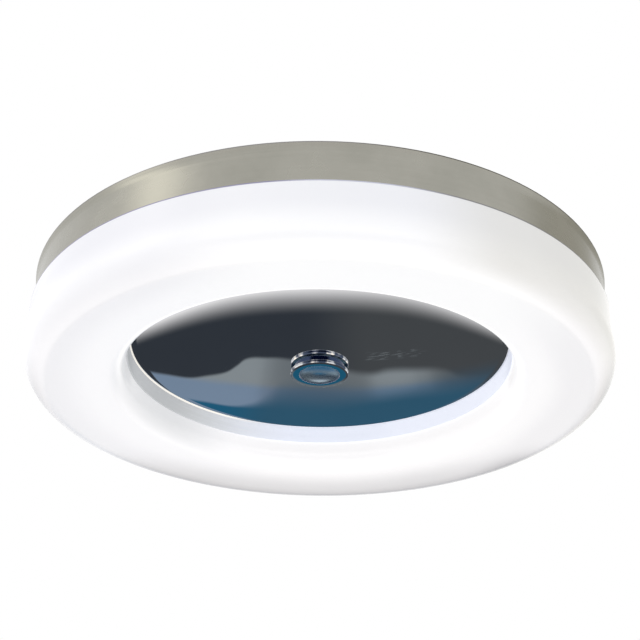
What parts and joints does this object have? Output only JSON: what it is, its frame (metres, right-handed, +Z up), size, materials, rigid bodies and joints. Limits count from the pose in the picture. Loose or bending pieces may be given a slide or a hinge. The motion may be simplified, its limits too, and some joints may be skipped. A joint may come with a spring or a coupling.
{
  "type": "ceiling light",
  "caption": "Round flush ceiling light: nickel band on a steel pan, opal ring lens over curved LED boards, and a recessed chrome dish held up by a central screw-off finial.",
  "frame": {"origin": "centre of the light in the plane of the ceiling, on the end face of the centre stud, flush with the strap, the gasket and the band's top edge", "axes": "+Z up into the ceiling; the light hangs down along -Z; +Y points from the middle to the driver"},
  "size_m": [0.381, 0.381, 0.0659],
  "materials": {
    "opal_acrylic": "opal white, glossy, lit from inside",
    "brushed_nickel": "satin brushed nickel plate",
    "chrome": "mirror polished chrome plate",
    "satin_aluminium": "satin, turned",
    "white_enamel": "white stoved enamel, semi-gloss",
    "zinc_plate": "zinc plated steel, dull",
    "board_white": "white solder mask on a metal-core board, with yellow diodes and white connectors",
    "diode_yellow": "yellow phosphor of the diodes, which are part of the boards",
    "connector_white": "moulded nylon, ivory",
    "driver_shell": "moulded white plastic, matt",
    "circuit_green": "green circuit board",
    "ferrite": "dark ferrite core, matt",
    "capacitor_sleeve": "dark shrink sleeve",
    "foam": "black closed-cell foam",
    "rubber": "black rubber",
    "fibre": "pale fibre washer",
    "brass": "plain turned brass",
    "green_screw": "green earth screw",
    "lead_black": "black wire insulation",
    "lead_white": "white wire insulation",
    "lead_green": "green wire insulation",
    "lead_red": "red wire insulation"
  },
  "bodies": {
    "root": {"board_link_1": "lead_white", "board_link_2": "lead_white", "board_link_3": "lead_white", "board_screw_1": "zinc_plate", "board_screw_2": "zinc_plate", "board_screw_3": "zinc_plate", "board_screw_4": "zinc_plate", "board_screw_5": "zinc_plate", "board_screw_6": "zinc_plate", "board_screw_7": "zinc_plate", "board_screw_8": "zinc_plate", "ceiling_gasket": "foam", "ceiling_strap": "zinc_plate", "centre_stud": "zinc_plate", "driver_capacitor_1": "capacitor_sleeve", "driver_capacitor_2": "capacitor_sleeve", "driver_case": "driver_shell", "driver_circuit": "circuit_green", "driver_cover": "driver_shell", "driver_screw_1": "zinc_plate", "driver_screw_2": "zinc_plate", "driver_transformer": "ferrite", "earth_lead": "lead_green", "earth_ring": "brass", "earth_screw": "green_screw", "lead_grommet": "rubber", "led_board_1": "board_white", "led_board_2": "board_white", "led_board_3": "board_white", "led_board_4": "board_white", "live_lead": "lead_black", "neutral_lead": "lead_white", "output_lead_negative": "lead_black", "output_lead_positive": "lead_red", "pan": "white_enamel", "pan_nut": "zinc_plate", "pan_washer": "zinc_plate", "strap_nut": "zinc_plate", "terminal_block": "connector_white", "terminal_screw_1": "brass", "terminal_screw_2": "brass", "terminal_screw_3": "brass", "trim_band": "brushed_nickel"},
    "diffuser": {"ring_lens": "opal_acrylic", "dish_collar": "satin_aluminium", "lens_retainer": "zinc_plate", "chrome_dish": "chrome", "finial_washer": "fibre", "retainer_screw_1": "zinc_plate", "retainer_screw_2": "zinc_plate", "retainer_screw_3": "zinc_plate", "retainer_screw_4": "zinc_plate", "retainer_screw_5": "zinc_plate", "retainer_screw_6": "zinc_plate"},
    "finial_seat": {"finial_seat_ring": "chrome"},
    "finial": {"finial_knob": "chrome", "finial_insert": "brass", "finial_button": "chrome"}
  },
  "joints": [
    {"name": "diffuser_drop", "type": "slide", "parent": "root", "child": "diffuser", "axis": [0, 0, -1], "range_m": [0, 0.12]},
    {"name": "finial_drop", "type": "slide", "parent": "diffuser", "child": "finial_seat", "axis": [0, 0, -1], "range_m": [0, 0.005]},
    {"name": "finial_turn", "type": "hinge", "parent": "finial_seat", "child": "finial", "pos_m": [0, 0, 0], "axis": [0, 0, -1], "range_deg": [0, 1800]}
  ],
  "couplings": [
    {"joint": "finial_drop", "follows": "finial_turn", "m_per_rad": 0.00015915}
  ]
}
